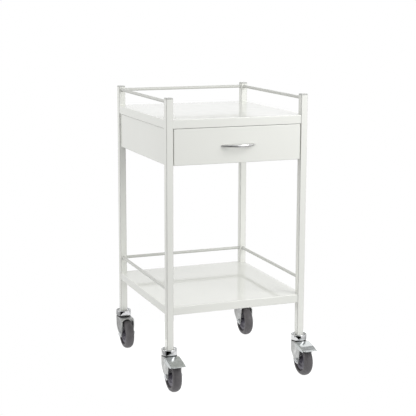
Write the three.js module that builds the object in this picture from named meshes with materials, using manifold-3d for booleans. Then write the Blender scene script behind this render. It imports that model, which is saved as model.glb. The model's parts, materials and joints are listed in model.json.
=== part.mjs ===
// A rolling salon trolley: four square posts on swivel castors carry two railed sheet-metal shelves,
// and a drawer on telescoping runners hangs under the upper one.
// Millimetres, +Z up, the front faces -Y and the castors stand on z = 0.
import * as THREE from 'three';
import { mergeVertices } from 'three/addons/utils/BufferGeometryUtils.js';
import Module from 'manifold-3d';

const wasm = await Module();
wasm.setup();

// Overall sizes
const WIDTH = 465; // across the posts' outer faces
const DEPTH = 495;
const HEIGHT = 900;
const GAP = 0.3; // between pieces that touch
const TURNED_SEGMENTS = 16; // round the castors' small turned pieces
const TYRE_SEGMENTS = 28;

// Posts, their caps and the inserts in their lower ends
const POST = 22;
const POST_WALL = 1.5;
const POST_CORNER = 2;
const POST_FOOT = 125;
const CAP = 4;
const CAP_PLUG = 12;
const SOCKET = 38;

// Shelves
const TOP_SHELF = 834.5; // height of each shelf's upper face
const BOTTOM_SHELF = 260;
const SHEET = 1.2;
const SKIRT = 26.5;
const SKIRT_INSET = 1.2; // from the posts' outer faces
const FOLD_RADIUS = 2.5;
const BOTTOM_LIP = 14; // inward fold along the lower shelf's skirts
const STRIP = 30; // width of the shelf's folded edge strips

// Rails
const RAIL_RISE = 52; // from a shelf's upper face to its rail's axis
const RAIL_RADIUS = 5;

// Casing round the drawer
const PANEL = 1;
const PANEL_INSET = 5;
const PANEL_FLANGE = 12;

// Drawer
const FRONT_TOP = 806.6;
const FRONT_FOOT = 696;
const FRONT_DEPTH = 15;
const FRONT_INSET = 1;
const FRONT_SIDE_GAP = 1.6;
const TRAY_HALF = 197.3;
const TRAY_FLOOR = 699.5;
const TRAY_RIM = 787;
const TRAY_BACK = 214;

// Runners
const RUNNER_HEIGHT = 745; // of every member's middle
const RUNNER_BACK = 219.5;
const RUNNER_SHEET = 1.2;
const OUTER_DEPTH = 10; // from the fixed member's web to the lips of its flanges
const MIDDLE_STANDOFF = 2.7; // from the fixed member's web to the middle one's
const MIDDLE_REACH = 1.7; // from the tray to the middle member's lips
const INNER_DEPTH = 7.4;
const OUTER_HALF = 22.5; // half the height of each member
const MIDDLE_HALF = 19;
const INNER_HALF = 15;
const FEET_FROM = [-205, 165]; // where the feet that fix a runner to its side panel start
const FOOT_LENGTH = 25;
const FOOT_HALF = 10;
const FOOT_SHEET = 1.5;

// Handle
const HANDLE_SPAN = 114;
const HANDLE_REACH = 27;
const HANDLE_HEIGHT = 8.4;
const HANDLE_GRIP = 5.5; // thickness at the middle
const HANDLE_PAD = 16; // width of each end where it meets the drawer
const HANDLE_SCREWS = 96;
const HANDLE_SOFT = 1.5; // chamfer along its edges
const HANDLE_TAPER = 0.25; // how much lower the ends are than the middle, as a share
const SCREW_RADIUS = 1.9;
const SCREW_HOLE = 2.3;
const SCREW_REACH = 6; // into the handle
const SCREW_HEAD_RADIUS = 4;
const SCREW_HEAD = 2.6;

// Castors; heights are above the floor, y is measured from the swivel axis
const WHEEL_RADIUS = 50;
const TYRE_HALF = 16;
const TRAIL = 34.5;
const TREAD_HALF = 4.5; // half the width of the tread's highest band
const CORE_RADIUS = 31.6;
const RIM_HALF = 12;
const DISH_HALF = 9;
const HUB_HALF = 19.4;
const HUB_RADIUS = 8.5;
const AXLE_RADIUS = 4;
const AXLE_HEX = 7.5; // centre to corner
const AXLE_HEAD = 5.3;
const AXLE_NUT = 5.5;
const AXLE_END = 7;
const HEAD_RADIUS = 25;
const HEAD_FOOT = 109;
const HEAD_RIM = 126.5;
const RIM_WIDTH = 1.8;
const SEAT_RADIUS = 16.2;
const SEAT_RISE = 3.2;
const STEM_RADIUS = 5.5;
const STEM_LENGTH = 36;
const KING_PIN_RADIUS = 6.2;
const RIVET_RADIUS = 9.5;
const RIVET_HEIGHT = 3.3;
const FORK_TOP = 105.5;
const FORK_SHEET = 2.5;
const LEG_OUTER = 22.2;
const LEG_SHEET = 2.2;
const LEG_REAR = 12; // behind the swivel axis, at the top and lower down
const LEG_REAR_LOW = 10.5;
const LEG_SHOULDER = 76; // height where the rear edge starts to turn in
const LEG_FRONT = -51;
const LEG_KNEE = 80; // height where the front edge starts to lean towards the axle
const BOSS_RADIUS = 12;
const BOSS_START = -0.65; // angles where the boss's arc meets the leg's rear and front edges
const BOSS_END = -2.94;
const BRAKED_PLATE = 24; // how far the fork's top plate reaches forward with and without a brake
const PLAIN_PLATE = 47;
const APRON_SHEET = 2.5;
const APRON_FOOT = 94;
const APRON_ARCH = 101.5;
const RACE_RADIUS = 21.5;

// Brake pedal
const PEDAL_PIVOT = { y: -27, z: 99 };
const PEDAL_TRAVEL = THREE.MathUtils.degToRad(6);
const PEDAL_HALF = 24.2;
const PEDAL_SHEET = 1.6;
const PEDAL_PIN = 3;
const PEDAL_TIP = 93.5;
const TREAD_LINE = [[-26.5, 107.6], [-60, 102.2], [-88, 95.5], [-PEDAL_TIP, 97]]; // [y, z] along the top
const CHEEK_LINE = [[-84, 96.5], [-79, 90], [-52, 88], [-34, 91], [-22.5, 95.5], [-22.5, 104]];
const SHOE_HALF = 13;
const SHOE_REAR = -50;
const SHOE_FRONT = -66;

// The castors trail towards the front, so the frame stands this far behind the origin, which is the
// centre of the whole footprint.
const FRONT_REACH = DEPTH / 2 - POST / 2 + PEDAL_TIP;
const BACK_REACH = DEPTH / 2 - POST / 2 + HEAD_RADIUS;
const FRAME_SHIFT = (FRONT_REACH - BACK_REACH) / 2;

const POST_X = (WIDTH - POST) / 2;
const POST_Y = (DEPTH - POST) / 2;
const BETWEEN_X = WIDTH / 2 - POST - GAP; // half the room between the posts, less a gap
const BETWEEN_Y = DEPTH / 2 - POST - GAP;
const FRONT_FACE = -(DEPTH / 2 - FRONT_INSET);
const TRAY_FRONT = FRONT_FACE + FRONT_DEPTH + GAP;
const RUNNER_FRONT = TRAY_FRONT + 0.7;
const HANDLE_LEVEL = 750.5;

// ---------------------------------------------------------------- geometry helpers

function solidOf(geometry) {
  const bare = geometry.clone();
  bare.deleteAttribute('normal');
  bare.deleteAttribute('uv');
  const merged = mergeVertices(bare, 1e-4);
  return new wasm.Manifold(new wasm.Mesh({
    numProp: 3,
    vertProperties: new Float32Array(merged.attributes.position.array),
    triVerts: new Uint32Array(merged.index.array),
  }));
}

function geometryOf(solid) {
  const mesh = solid.getMesh();
  const geometry = new THREE.BufferGeometry();
  geometry.setAttribute('position', new THREE.BufferAttribute(mesh.vertProperties, 3));
  geometry.setIndex(new THREE.BufferAttribute(mesh.triVerts, 1));
  return geometry;
}

function join(...pieces) {
  return geometryOf(pieces.map(solidOf).reduce((whole, piece) => whole.add(piece)));
}

function cut(body, ...tools) {
  return geometryOf(tools.map(solidOf).reduce((rest, tool) => rest.subtract(tool), solidOf(body)));
}

// A box given by its two limits on each axis, in either order.
function block([x0, x1], [y0, y1], [z0, z1]) {
  const geometry = new THREE.BoxGeometry(Math.abs(x1 - x0), Math.abs(y1 - y0), Math.abs(z1 - z0));
  return geometry.translate((x0 + x1) / 2, (y0 + y1) / 2, (z0 + z1) / 2);
}

function roundedSquare(side, radius) {
  const shape = new THREE.Shape();
  const middle = side / 2 - radius;
  for (let corner = 0; corner < 4; corner += 1) {
    const start = corner * Math.PI / 2;
    const x = middle * Math.sign(Math.cos(start + Math.PI / 4));
    const y = middle * Math.sign(Math.sin(start + Math.PI / 4));
    shape.absarc(x, y, radius, start, start + Math.PI / 2);
  }
  return shape;
}

function outline(points) {
  return new THREE.Shape(points.map(([x, y]) => new THREE.Vector2(x, y)));
}

function extrude(shape, depth, curveSegments = 4) {
  return new THREE.ExtrudeGeometry(shape, { depth, bevelEnabled: false, curveSegments });
}

// A section drawn in (y, z), run from x0 to x1.
function alongX(shape, x0, x1, curveSegments) {
  const turn = new THREE.Matrix4().makeBasis(
    new THREE.Vector3(0, 1, 0), new THREE.Vector3(0, 0, 1), new THREE.Vector3(1, 0, 0));
  return extrude(shape, x1 - x0, curveSegments).applyMatrix4(turn).translate(x0, 0, 0);
}

// A section drawn in (x, z), run from y0 to y1.
function alongY(shape, y0, y1, curveSegments) {
  return extrude(shape, y1 - y0, curveSegments).rotateX(Math.PI / 2).translate(0, y1, 0);
}

function rodAlongX(radius, x0, x1, y, z, segments = 12) {
  const rod = new THREE.CylinderGeometry(radius, radius, x1 - x0, segments);
  return rod.rotateZ(-Math.PI / 2).translate((x0 + x1) / 2, y, z);
}

function rodAlongY(radius, y0, y1, x, z, segments = 12) {
  return new THREE.CylinderGeometry(radius, radius, y1 - y0, segments).translate(x, (y0 + y1) / 2, z);
}

function rodAlongZ(radius, z0, z1, x, y, segments = 12) {
  const rod = new THREE.CylinderGeometry(radius, radius, z1 - z0, segments);
  return rod.rotateX(Math.PI / 2).translate(x, y, (z0 + z1) / 2);
}

// A profile of [radius, height] points turned about the Z axis.
function turned(profile, segments) {
  const points = profile.map(([radius, height]) => new THREE.Vector2(radius, height));
  return new THREE.LatheGeometry(points, segments).rotateX(Math.PI / 2);
}

// Half a ring's section, from its bore to its rim, as [half width, radius] points. It is mirrored
// across the wheel's middle and turned about the X axis.
function wheelRing(half, segments) {
  const far = half.map(([width, radius]) => [-width, radius]);
  const loop = [...far, ...half.slice().reverse(), far[0]];
  const points = loop.map(([width, radius]) => new THREE.Vector2(radius, width));
  return new THREE.LatheGeometry(points, segments).rotateZ(Math.PI / 2);
}

// ---------------------------------------------------------------- frame

function post() {
  const wall = roundedSquare(POST, POST_CORNER);
  wall.holes.push(roundedSquare(POST - 2 * POST_WALL, POST_CORNER / 2));
  return extrude(wall, HEIGHT - CAP - GAP - POST_FOOT, 2).translate(0, 0, POST_FOOT);
}

function postCap() {
  const crown = 1.2;
  const plate = new THREE.ExtrudeGeometry(roundedSquare(POST, POST_CORNER), {
    depth: CAP - crown,
    bevelThickness: crown,
    bevelSize: crown,
    bevelOffset: -crown,
    bevelSegments: 1,
    curveSegments: 2,
  });
  const plug = extrude(roundedSquare(POST - 2 * POST_WALL - 2 * GAP, 1), CAP_PLUG + CAP / 2, 1);
  const foot = HEIGHT - CAP;
  const below = block([-POST, POST], [-POST, POST], [foot - CAP, foot]);
  return join(cut(plate.translate(0, 0, foot), below), plug.translate(0, 0, foot - CAP_PLUG));
}

function stemSocket() {
  const foot = POST_FOOT + GAP;
  const body = extrude(roundedSquare(POST - 2 * POST_WALL - 2 * GAP, 1), SOCKET, 1);
  const bore = rodAlongZ(STEM_RADIUS + 0.4, foot - 1, foot + SOCKET + 1, 0, 0, TURNED_SEGMENTS);
  return cut(body.translate(0, 0, foot), bore);
}

// The section of a shelf's edge: the upper face, the fold, the skirt and, if any, the lip.
function edgeSection(edge, top, lip) {
  const foot = top - SKIRT;
  const fold = edge - FOLD_RADIUS;
  const section = new THREE.Shape();
  section.moveTo(edge - STRIP, top - SHEET);
  section.lineTo(fold, top - SHEET);
  section.absarc(fold, top - FOLD_RADIUS, FOLD_RADIUS - SHEET, Math.PI / 2, 0, true);
  if (lip > 0) {
    section.lineTo(edge - SHEET, foot + SHEET);
    section.lineTo(edge - lip, foot + SHEET);
    section.lineTo(edge - lip, foot);
  } else {
    section.lineTo(edge - SHEET, foot);
  }
  section.lineTo(edge, foot);
  section.absarc(fold, top - FOLD_RADIUS, FOLD_RADIUS, 0, Math.PI / 2);
  section.lineTo(edge - STRIP, top);
  return section;
}

function shelf(top, lip) {
  const side = edgeSection(WIDTH / 2 - SKIRT_INSET, top, lip);
  const end = edgeSection(DEPTH / 2 - SKIRT_INSET, top, lip);
  const plate = block([-BETWEEN_X, BETWEEN_X], [-BETWEEN_Y, BETWEEN_Y], [top - SHEET, top]);
  const right = alongY(side, -BETWEEN_Y, BETWEEN_Y, 2);
  const back = alongY(end, -BETWEEN_X, BETWEEN_X, 2).rotateZ(Math.PI / 2);
  const left = right.clone().rotateZ(Math.PI);
  const front = back.clone().rotateZ(Math.PI);
  return join(plate, right, left, back, front);
}

// The section of a casing panel: an upright sheet with a flange turned inwards at top and bottom.
function panelSection(face) {
  const top = TOP_SHELF - SHEET - GAP;
  return outline([
    [face - PANEL_FLANGE, FRONT_FOOT],
    [face, FRONT_FOOT],
    [face, top],
    [face - PANEL_FLANGE, top],
    [face - PANEL_FLANGE, top - PANEL],
    [face - PANEL, top - PANEL],
    [face - PANEL, FRONT_FOOT + PANEL],
    [face - PANEL_FLANGE, FRONT_FOOT + PANEL],
  ]);
}

function sidePanel() {
  return alongY(panelSection(WIDTH / 2 - PANEL_INSET), -BETWEEN_Y, BETWEEN_Y);
}

function backPanel() {
  const reach = BETWEEN_X;
  return alongY(panelSection(DEPTH / 2 - PANEL_INSET), -reach, reach).rotateZ(Math.PI / 2);
}

// ---------------------------------------------------------------- drawer and runners

// A channel lying on its side: its web stands at x = web, and its flanges reach to x = mouth.
function channelSection(web, mouth, halfHeight) {
  const inner = web + Math.sign(mouth - web) * RUNNER_SHEET;
  const flange = halfHeight - RUNNER_SHEET;
  const points = [
    [web, -halfHeight],
    [mouth, -halfHeight],
    [mouth, -flange],
    [inner, -flange],
    [inner, flange],
    [mouth, flange],
    [mouth, halfHeight],
    [web, halfHeight],
  ];
  return outline(web < mouth ? points : points.reverse());
}

function runnerMember(web, mouth, halfHeight, back) {
  const channel = alongY(channelSection(web, mouth, halfHeight), RUNNER_FRONT, back);
  return channel.translate(0, 0, RUNNER_HEIGHT);
}

// A hat-shaped foot that holds the fixed member off the side panel.
function runnerFoot(start) {
  const panel = WIDTH / 2 - PANEL_INSET - PANEL - GAP;
  const web = BETWEEN_X - RUNNER_SHEET / 2;
  const tall = [RUNNER_HEIGHT - FOOT_HALF, RUNNER_HEIGHT + FOOT_HALF];
  const end = start + FOOT_LENGTH;
  return [
    block([web, panel], [start, start + FOOT_SHEET], tall),
    block([web, panel], [end - FOOT_SHEET, end], tall),
    block([panel - FOOT_SHEET, panel], [start, end], tall),
  ];
}

function outerRunner() {
  const channel = runnerMember(BETWEEN_X, BETWEEN_X - OUTER_DEPTH, OUTER_HALF, RUNNER_BACK);
  return join(channel, ...FEET_FROM.flatMap(runnerFoot));
}

function middleRunner() {
  const web = BETWEEN_X - MIDDLE_STANDOFF;
  return runnerMember(web, TRAY_HALF + MIDDLE_REACH, MIDDLE_HALF, TRAY_BACK - 4);
}

function innerRunner() {
  const web = TRAY_HALF + GAP;
  return runnerMember(web, web + INNER_DEPTH, INNER_HALF, TRAY_BACK);
}

function screwHoles(y0, y1, radius) {
  const half = HANDLE_SCREWS / 2;
  return [-half, half].map((x) => rodAlongY(radius, y0, y1, x, HANDLE_LEVEL, 10));
}

// A folded pan, open towards the tray.
function drawerFront() {
  const half = WIDTH / 2 - POST - FRONT_SIDE_GAP;
  const back = FRONT_FACE + FRONT_DEPTH;
  const pan = block([-half, half], [FRONT_FACE, back], [FRONT_FOOT, FRONT_TOP]);
  const inside = block([-half + SHEET, half - SHEET], [FRONT_FACE + SHEET, back + 1],
    [FRONT_FOOT + SHEET, FRONT_TOP - SHEET]);
  return cut(pan, inside, ...screwHoles(FRONT_FACE - 1, FRONT_FACE + SHEET + 1, SCREW_HOLE));
}

function drawerTray() {
  const tray = block([-TRAY_HALF, TRAY_HALF], [TRAY_FRONT, TRAY_BACK], [TRAY_FLOOR, TRAY_RIM]);
  const inside = block([-TRAY_HALF + SHEET, TRAY_HALF - SHEET], [TRAY_FRONT + SHEET, TRAY_BACK - SHEET],
    [TRAY_FLOOR + SHEET, TRAY_RIM + 1]);
  return cut(tray, inside, ...screwHoles(TRAY_FRONT - 1, TRAY_FRONT + SHEET + 1, SCREW_HOLE));
}

// Adds to a shape the arc through (-half, 0), (0, -reach) and (half, 0), or the same arc backwards.
function addBow(shape, half, reach, backwards) {
  const radius = (half * half + reach * reach) / (2 * reach);
  const centre = radius - reach;
  const edge = Math.atan2(-centre, half);
  const start = backwards ? edge : -Math.PI - edge;
  const end = backwards ? -Math.PI - edge : edge;
  shape.absarc(0, centre, radius, start, end, backwards);
}

// A bow pull: a crescent that is thickest at its two ends and a little lower there than in the middle.
function drawerHandle() {
  const soft = HANDLE_SOFT;
  const crescent = new THREE.Shape();
  addBow(crescent, HANDLE_SPAN / 2, HANDLE_REACH, false);
  addBow(crescent, HANDLE_SPAN / 2 - HANDLE_PAD, HANDLE_REACH - HANDLE_GRIP, true);
  const bow = new THREE.ExtrudeGeometry(crescent, {
    depth: HANDLE_HEIGHT - 2 * soft,
    bevelThickness: soft,
    bevelSize: soft,
    bevelOffset: -soft,
    bevelSegments: 1,
    curveSegments: 12,
  });
  bow.translate(0, 0, soft - HANDLE_HEIGHT / 2);
  const points = bow.attributes.position;
  for (let i = 0; i < points.count; i += 1) {
    const along = points.getX(i) / (HANDLE_SPAN / 2);
    points.setZ(i, points.getZ(i) * (1 - HANDLE_TAPER * along * along));
  }
  const face = FRONT_FACE - GAP;
  bow.translate(0, face, HANDLE_LEVEL);
  const behind = block([-HANDLE_SPAN, HANDLE_SPAN], [face, face + 10], [FRONT_FOOT, FRONT_TOP]);
  return cut(bow, behind, ...screwHoles(face - SCREW_REACH - 0.5, face + 1, SCREW_RADIUS + GAP));
}

function handleScrew() {
  const head = TRAY_FRONT + SHEET + GAP;
  const end = FRONT_FACE - GAP - SCREW_REACH;
  const shank = rodAlongY(SCREW_RADIUS, end, head + 1, 0, HANDLE_LEVEL, 10);
  return join(shank, rodAlongY(SCREW_HEAD_RADIUS, head, head + SCREW_HEAD, 0, HANDLE_LEVEL, 10));
}

// ---------------------------------------------------------------- castors

// The fixed half: king pin, cup, seat for the post and stem.
function castorHead() {
  const seat = POST_FOOT - GAP;
  const floor = seat - SEAT_RISE;
  const underFork = FORK_TOP - FORK_SHEET - GAP;
  const rivet = underFork - RIVET_HEIGHT;
  const shoulder = HEAD_RIM - RIM_WIDTH / 3;
  return turned([
    [0, rivet],
    [RIVET_RADIUS - 2.5, rivet],
    [RIVET_RADIUS, rivet + 1.4],
    [RIVET_RADIUS, underFork],
    [KING_PIN_RADIUS, underFork],
    [KING_PIN_RADIUS, HEAD_FOOT],
    [HEAD_RADIUS - 1, HEAD_FOOT],
    [HEAD_RADIUS, HEAD_FOOT + 1],
    [HEAD_RADIUS, shoulder],
    [HEAD_RADIUS - RIM_WIDTH / 2, HEAD_RIM],
    [HEAD_RADIUS - RIM_WIDTH, shoulder],
    [HEAD_RADIUS - RIM_WIDTH, floor],
    [SEAT_RADIUS + 0.8, floor],
    [SEAT_RADIUS, seat],
    [STEM_RADIUS, seat],
    [STEM_RADIUS, seat + STEM_LENGTH],
    [0, seat + STEM_LENGTH],
  ], TURNED_SEGMENTS);
}

function swivelRace() {
  const foot = FORK_TOP + GAP;
  const top = HEAD_FOOT - GAP;
  const bore = KING_PIN_RADIUS + 0.6;
  const section = [[bore, foot], [RACE_RADIUS, foot], [RACE_RADIUS, top], [bore, top], [bore, foot]];
  return turned(section, TURNED_SEGMENTS);
}

// One leg, drawn in (y, z): an upright plate that narrows to a round boss at the axle.
function legOutline(braked) {
  const leg = new THREE.Shape();
  leg.moveTo(LEG_REAR, FORK_TOP);
  leg.lineTo(LEG_REAR_LOW, LEG_SHOULDER);
  leg.quadraticCurveTo(LEG_REAR / 2, LEG_SHOULDER - 15, -TRAIL + BOSS_RADIUS * Math.cos(BOSS_START),
    WHEEL_RADIUS + BOSS_RADIUS * Math.sin(BOSS_START));
  leg.absarc(-TRAIL, WHEEL_RADIUS, BOSS_RADIUS, BOSS_START, BOSS_END, true);
  leg.lineTo(LEG_FRONT, LEG_KNEE);
  if (braked) {
    leg.lineTo(LEG_FRONT, LEG_KNEE + 8);
    leg.lineTo(LEG_FRONT + 5, LEG_KNEE + 14.5);
    leg.lineTo(-BRAKED_PLATE - 2, FORK_TOP - 1);
    leg.lineTo(-BRAKED_PLATE, FORK_TOP);
  } else {
    leg.lineTo(LEG_FRONT, LEG_KNEE + 11);
    leg.quadraticCurveTo(LEG_FRONT + 1, FORK_TOP - 3.5, -PLAIN_PLATE + 7, FORK_TOP);
  }
  return leg;
}

// The lip that hangs from the front of an unbraked fork's top plate, arched over the tyre.
function forkApron() {
  const half = LEG_OUTER - 0.5;
  const inner = LEG_OUTER - LEG_SHEET;
  const bend = 0.75 * inner;
  const apron = outline([[-half, FORK_TOP], [half, FORK_TOP], [half, APRON_FOOT], [inner, APRON_FOOT]]);
  apron.quadraticCurveTo(bend, APRON_ARCH, 0, APRON_ARCH);
  apron.quadraticCurveTo(-bend, APRON_ARCH, -inner, APRON_FOOT);
  apron.lineTo(-half, APRON_FOOT);
  return alongY(apron, -PLAIN_PLATE + 1 - APRON_SHEET, -PLAIN_PLATE + 1);
}

function fork(braked) {
  const reach = braked ? BRAKED_PLATE : PLAIN_PLATE;
  const under = FORK_TOP - FORK_SHEET;
  const inner = LEG_OUTER - LEG_SHEET;
  const leg = legOutline(braked);
  const pieces = [
    rodAlongZ(HEAD_RADIUS, under, FORK_TOP, 0, 0, TURNED_SEGMENTS),
    block([-inner - 1, inner + 1], [-reach, LEG_REAR - 0.5], [under, FORK_TOP]),
    alongX(leg, -LEG_OUTER, -inner),
    alongX(leg, inner, LEG_OUTER),
  ];
  if (!braked) pieces.push(forkApron());
  const holes = [
    rodAlongZ(KING_PIN_RADIUS + 0.4, under - 1, FORK_TOP + 1, 0, 0, TURNED_SEGMENTS),
    rodAlongX(AXLE_RADIUS + 0.4, -HEAD_RADIUS, HEAD_RADIUS, -TRAIL, WHEEL_RADIUS, 8),
  ];
  if (braked) {
    holes.push(rodAlongX(PEDAL_PIN + 0.4, -HEAD_RADIUS, HEAD_RADIUS, PEDAL_PIVOT.y, PEDAL_PIVOT.z, 8));
  }
  return cut(join(...pieces), ...holes);
}

// The axle bolt with its lock nut, head on the +X side.
function axleBolt() {
  const face = LEG_OUTER + GAP;
  return join(
    rodAlongX(AXLE_RADIUS, -face - AXLE_END, face + 1, -TRAIL, WHEEL_RADIUS),
    rodAlongX(AXLE_HEX, face, face + AXLE_HEAD, -TRAIL, WHEEL_RADIUS, 6),
    rodAlongX(AXLE_HEX, -face - AXLE_NUT, -face, -TRAIL, WHEEL_RADIUS, 6),
  );
}

function wheelCore() {
  const ring = wheelRing([
    [HUB_HALF, AXLE_RADIUS + 0.5],
    [HUB_HALF, HUB_RADIUS],
    [DISH_HALF + 0.5, HUB_RADIUS + 2],
    [DISH_HALF, CORE_RADIUS - 6],
    [RIM_HALF, CORE_RADIUS - 4],
    [RIM_HALF, CORE_RADIUS],
  ], TURNED_SEGMENTS);
  return ring.translate(0, -TRAIL, WHEEL_RADIUS);
}

function tyre() {
  const ring = wheelRing([
    [RIM_HALF + 0.2, CORE_RADIUS + GAP],
    [TYRE_HALF - 0.4, CORE_RADIUS + 3],
    [TYRE_HALF, WHEEL_RADIUS - 8],
    [TYRE_HALF - 3.5, WHEEL_RADIUS - 2.2],
    [TREAD_HALF, WHEEL_RADIUS],
  ], TYRE_SEGMENTS);
  // Turned half a segment and grown, so that it stands on a flat at its true radius.
  const grow = 1 / Math.cos(Math.PI / TYRE_SEGMENTS);
  ring.rotateX(Math.PI / TYRE_SEGMENTS).scale(1, grow, grow);
  return ring.translate(0, -TRAIL, WHEEL_RADIUS);
}

// Height of the pedal's upper face at y.
function treadHeight(y) {
  const next = TREAD_LINE.findIndex((point) => point[0] < y);
  const [[y0, z0], [y1, z1]] = [TREAD_LINE[next - 1], TREAD_LINE[next]];
  return THREE.MathUtils.mapLinear(y, y0, y1, z0, z1);
}

// The underside of the brake shoe stands just clear of the tyre when the pedal is pressed right
// down, so its arc is centred on the wheel's axle turned back about the pedal's pivot.
function shoeOutline() {
  const y = -TRAIL - PEDAL_PIVOT.y;
  const z = WHEEL_RADIUS - PEDAL_PIVOT.z;
  const centreY = PEDAL_PIVOT.y + y * Math.cos(PEDAL_TRAVEL) + z * Math.sin(PEDAL_TRAVEL);
  const centreZ = PEDAL_PIVOT.z - y * Math.sin(PEDAL_TRAVEL) + z * Math.cos(PEDAL_TRAVEL);
  const radius = WHEEL_RADIUS + 2 * GAP;
  const rear = Math.acos((SHOE_REAR - centreY) / radius);
  const front = Math.acos((SHOE_FRONT - centreY) / radius);
  const shoe = new THREE.Shape();
  shoe.absarc(centreY, centreZ, radius, rear, front);
  shoe.lineTo(SHOE_FRONT, treadHeight(SHOE_FRONT) - PEDAL_SHEET / 2);
  shoe.lineTo(SHOE_REAR, treadHeight(SHOE_REAR) - PEDAL_SHEET / 2);
  return shoe;
}

// A pressed channel that straddles the fork's legs, with a curled toe, a pivot stub on each side
// and the shoe underneath.
function brakePedal() {
  const underside = TREAD_LINE.map(([y, z]) => [y, z - PEDAL_SHEET]).reverse();
  const tread = outline([...TREAD_LINE, ...underside]);
  const cheek = outline([...TREAD_LINE.slice(0, 2), ...CHEEK_LINE]);
  const inner = PEDAL_HALF - PEDAL_SHEET + 0.1;
  const pinInner = LEG_OUTER - LEG_SHEET - 1.5;
  const pinOuter = PEDAL_HALF - PEDAL_SHEET / 3;
  return join(
    alongX(tread, -PEDAL_HALF, PEDAL_HALF),
    alongX(cheek, -PEDAL_HALF, -inner),
    alongX(cheek, inner, PEDAL_HALF),
    alongX(shoeOutline(), -SHOE_HALF, SHOE_HALF, 4),
    rodAlongX(PEDAL_PIN, -pinOuter, -pinInner, PEDAL_PIVOT.y, PEDAL_PIVOT.z, 8),
    rodAlongX(PEDAL_PIN, pinInner, pinOuter, PEDAL_PIVOT.y, PEDAL_PIVOT.z, 8),
  );
}

// ---------------------------------------------------------------- assembly

const FINISHES = {
  powderCoat: { color: 0xf2f2ec, roughness: 0.38, metalness: 0 },
  whitePlastic: { color: 0xe9e9e2, roughness: 0.5, metalness: 0 },
  greyPlastic: { color: 0x4d4a52, roughness: 0.5, metalness: 0 },
  rubber: { color: 0x4a4a4b, roughness: 0.75, metalness: 0 },
  zinc: { color: 0xb9bcbe, roughness: 0.3, metalness: 1 },
  chrome: { color: 0xd9dcde, roughness: 0.12, metalness: 1 },
  blackPlastic: { color: 0x161616, roughness: 0.6, metalness: 0 },
};

const trolley = new THREE.Group();
trolley.position.y = FRAME_SHIFT;

function place(name, geometry, finish, position = [0, 0, 0], turn = 0) {
  const mesh = new THREE.Mesh(geometry, new THREE.MeshStandardMaterial(FINISHES[finish]));
  mesh.name = name;
  mesh.position.set(...position);
  mesh.rotation.z = turn;
  trolley.add(mesh);
}

const SIDES = [['left', -1], ['right', 1]];
const ENDS = [['front', -1], ['back', 1]];
const SHELVES = [['top', TOP_SHELF, 0], ['bottom', BOTTOM_SHELF, BOTTOM_LIP]];

function addShelves() {
  for (const [level, height, lip] of SHELVES) {
    const axis = height + RAIL_RISE;
    place(`${level}_shelf`, shelf(height, lip), 'powderCoat');
    const back = rodAlongX(RAIL_RADIUS, -BETWEEN_X, BETWEEN_X, POST_Y, axis);
    place(`${level}_rail_back`, back, 'powderCoat');
    for (const [side, sign] of SIDES) {
      const rail = rodAlongY(RAIL_RADIUS, -BETWEEN_Y, BETWEEN_Y, sign * POST_X, axis);
      place(`${level}_rail_${side}`, rail, 'powderCoat');
    }
  }
}

// The left-hand twin of a piece made for the right-hand side.
function mirrored(geometry) {
  const flipped = geometry.clone().scale(-1, 1, 1);
  const merged = mergeVertices(flipped.deleteAttribute('normal').deleteAttribute('uv'), 1e-4);
  const corners = merged.index.array;
  for (let i = 0; i < corners.length; i += 3) {
    [corners[i], corners[i + 1]] = [corners[i + 1], corners[i]];
  }
  return merged;
}

function addDrawer() {
  place('back_panel', backPanel(), 'powderCoat');
  place('drawer_front', drawerFront(), 'powderCoat');
  place('drawer_tray', drawerTray(), 'powderCoat');
  place('drawer_handle', drawerHandle(), 'chrome');
  for (const [side, sign] of SIDES) {
    const handed = (geometry) => (sign < 0 ? mirrored(geometry) : geometry);
    place(`side_panel_${side}`, handed(sidePanel()), 'powderCoat');
    place(`runner_outer_${side}`, handed(outerRunner()), 'zinc');
    place(`runner_middle_${side}`, handed(middleRunner()), 'zinc');
    place(`runner_inner_${side}`, handed(innerRunner()), 'zinc');
    place(`handle_screw_${side}`, handleScrew(), 'zinc', [sign * HANDLE_SCREWS / 2, 0, 0]);
  }
}

function addCorner(name, sign, end) {
  const at = [sign * POST_X, end * POST_Y, 0];
  const braked = end < 0;
  place(`${name}_post`, post(), 'powderCoat', at);
  place(`${name}_cap`, postCap(), 'whitePlastic', at);
  place(`${name}_stem_socket`, stemSocket(), 'blackPlastic', at);
  place(`${name}_castor_head`, castorHead(), 'chrome', at);
  place(`${name}_swivel_race`, swivelRace(), 'blackPlastic', at);
  place(`${name}_fork`, fork(braked), 'zinc', at);
  place(`${name}_axle_bolt`, sign < 0 ? mirrored(axleBolt()) : axleBolt(), 'zinc', at);
  place(`${name}_wheel_core`, wheelCore(), 'greyPlastic', at);
  place(`${name}_tyre`, tyre(), 'rubber', at);
  if (braked) place(`${name}_brake_pedal`, brakePedal(), 'chrome', at);
}

addShelves();
addDrawer();
for (const [endName, end] of ENDS) {
  for (const [sideName, sign] of SIDES) addCorner(`${endName}_${sideName}`, sign, end);
}

export default trolley;
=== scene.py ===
import json
import math

import bmesh
import bpy
from mathutils import Matrix, Vector


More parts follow.
